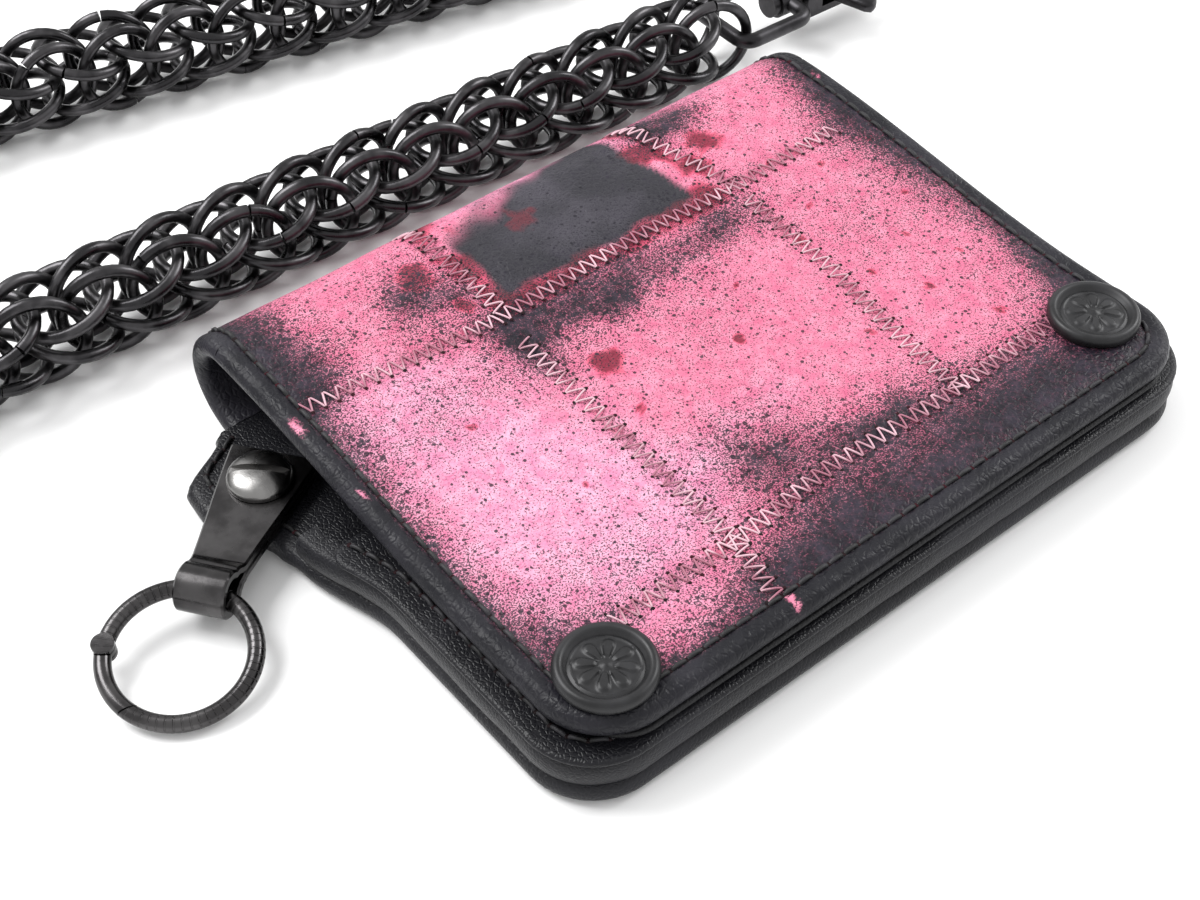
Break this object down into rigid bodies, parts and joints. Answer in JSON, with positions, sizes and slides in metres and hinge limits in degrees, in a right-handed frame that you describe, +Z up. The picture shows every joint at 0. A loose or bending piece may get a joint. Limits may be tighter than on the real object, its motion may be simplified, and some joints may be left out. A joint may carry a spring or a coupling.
{
  "type": "chain wallet",
  "caption": "Snap-closed folding leather wallet in pink patchwork with black edges, a metal leash with a key ring, and a heavy woven wallet chain with swivel clasps.",
  "frame": {"origin": "middle of the closed wallet's underside, between the side edges, on the surface it lies on", "axes": "+X along the snap edge, +Y from the snap edge toward the fold, +Z up"},
  "size_m": [0.2818, 0.1858, 0.0182],
  "materials": {
    "black_leather": "smooth black leather with burnished edges",
    "patchwork_leather": "distressed pink leather patches shaded to black",
    "lining_leather": "fine-grained black leather",
    "snap_metal": "satin black",
    "gunmetal": "polished black nickel",
    "chain_metal": "satin black coated steel wire",
    "clasp_metal": "matte black coated casting",
    "spring_steel": "bright spring wire"
  },
  "bodies": {
    "wallet_back": {"back_cover": "black_leather", "fold_spine": "black_leather", "pocket_welt": "black_leather", "bill_wall": "lining_leather", "card_slot_1": "lining_leather", "card_slot_2": "lining_leather", "pocket_cover": "black_leather", "snap_studs": "snap_metal", "snap_rivets": "snap_metal", "leash_screw": "gunmetal", "leash_nut": "gunmetal"},
    "wallet_flap": {"front_cover": "black_leather", "patchwork_front": "patchwork_leather", "front_liner": "lining_leather", "snap_caps": "snap_metal", "snap_sockets": "snap_metal"},
    "leash": {"leash_plate": "gunmetal"},
    "key_ring": {"key_ring": "gunmetal", "key_ring_pin": "gunmetal"},
    "key_ring_gate": {"key_ring_gate": "gunmetal"},
    "chain_turn": {"chain_length_3": "chain_metal"},
    "chain_near_2": {"chain_length_2": "chain_metal"},
    "chain_near_1": {"chain_length_1": "chain_metal"},
    "chain_far_1": {"chain_length_4": "chain_metal"},
    "chain_far_2": {"chain_length_5": "chain_metal"},
    "near_bow": {"near_clasp_bow": "clasp_metal"},
    "near_hook": {"near_clasp_swivel": "clasp_metal", "near_clasp_hook": "clasp_metal", "near_clasp_pin": "clasp_metal", "near_clasp_spring": "spring_steel"},
    "near_trigger": {"near_clasp_trigger": "clasp_metal"},
    "far_bow": {"far_clasp_bow": "clasp_metal"},
    "far_hook": {"far_clasp_swivel": "clasp_metal", "far_clasp_hook": "clasp_metal", "far_clasp_pin": "clasp_metal", "far_clasp_spring": "spring_steel"},
    "far_trigger": {"far_clasp_trigger": "clasp_metal"}
  },
  "joints": [
    {"name": "flap_fold", "type": "hinge", "parent": "wallet_back", "child": "wallet_flap", "pos_m": [0, 0.036, 0.0091], "axis": [-1, 0, 0], "range_deg": [0, 120], "deforming": ["fold_spine"]},
    {"name": "leash_swivel", "type": "hinge", "parent": "wallet_back", "child": "leash", "pos_m": [-0.0575, 0.0223, 0.0048], "axis": [0, 0, 1], "range_deg": [-15, 15]},
    {"name": "key_ring_swing", "type": "hinge", "parent": "leash", "child": "key_ring", "pos_m": [-0.07279, 0.01103, 0.0048], "axis": [-0.5934, 0.8049, 0], "range_deg": [0, 60]},
    {"name": "key_ring_gate_swing", "type": "hinge", "parent": "key_ring", "child": "key_ring_gate", "pos_m": [-0.08737, 0.01204, 0.00363], "axis": [-0.0905, -0.166, 0.982], "range_deg": [0, 25], "stiffness_Nm_per_rad": 0.004, "springref_deg": -11.46},
    {"name": "chain_lift", "type": "slide", "parent": "wallet_back", "child": "chain_turn", "axis": [0, 0, 1], "range_m": [0, 0.12]},
    {"name": "chain_near_bend_2", "type": "hinge", "parent": "chain_turn", "child": "chain_near_2", "pos_m": [-0.07686, 0.06721, 0.00797], "axis": [-0.0366, -0.9993, 0], "range_deg": [0, 8]},
    {"name": "chain_near_bend_1", "type": "hinge", "parent": "chain_near_2", "child": "chain_near_1", "pos_m": [-0.00851, 0.0647, 0.00797], "axis": [-0.0366, -0.9993, 0], "range_deg": [0, 8]},
    {"name": "chain_far_bend_1", "type": "hinge", "parent": "chain_turn", "child": "chain_far_1", "pos_m": [-0.07775, 0.13067, 0.00797], "axis": [0, 0, 1], "range_deg": [0, 8]},
    {"name": "chain_far_bend_2", "type": "hinge", "parent": "chain_far_1", "child": "chain_far_2", "pos_m": [0.01177, 0.11327, 0.00797], "axis": [0, 0, 1], "range_deg": [-5, 8]},
    {"name": "near_bow_swing", "type": "hinge", "parent": "chain_near_1", "child": "near_bow", "pos_m": [0.0614, 0.06214, 0.00797], "axis": [-0.0366, -0.9993, 0], "range_deg": [0, 25]},
    {"name": "near_hook_swivel", "type": "hinge", "parent": "near_bow", "child": "near_hook", "pos_m": [0.07599, 0.0616, 0.00797], "axis": [0.9993, -0.0366, 0], "continuous": true},
    {"name": "near_trigger_pull", "type": "hinge", "parent": "near_hook", "child": "near_trigger", "pos_m": [0.08449, 0.05879, 0.00797], "axis": [0, 0, 1], "range_deg": [0, 20], "stiffness_Nm_per_rad": 0.01, "springref_deg": -11.46},
    {"name": "far_bow_swing", "type": "hinge", "parent": "chain_far_2", "child": "far_bow", "pos_m": [0.10841, 0.09448, 0.00797], "axis": [-0.1908, -0.9816, 0], "range_deg": [0, 25]},
    {"name": "far_hook_swivel", "type": "hinge", "parent": "far_bow", "child": "far_hook", "pos_m": [0.12275, 0.0917, 0.00797], "axis": [0.9816, -0.1908, 0], "continuous": true},
    {"name": "far_trigger_pull", "type": "hinge", "parent": "far_hook", "child": "far_trigger", "pos_m": [0.13071, 0.0876, 0.00797], "axis": [0, 0, 1], "range_deg": [0, 20], "stiffness_Nm_per_rad": 0.01, "springref_deg": -11.46}
  ]
}
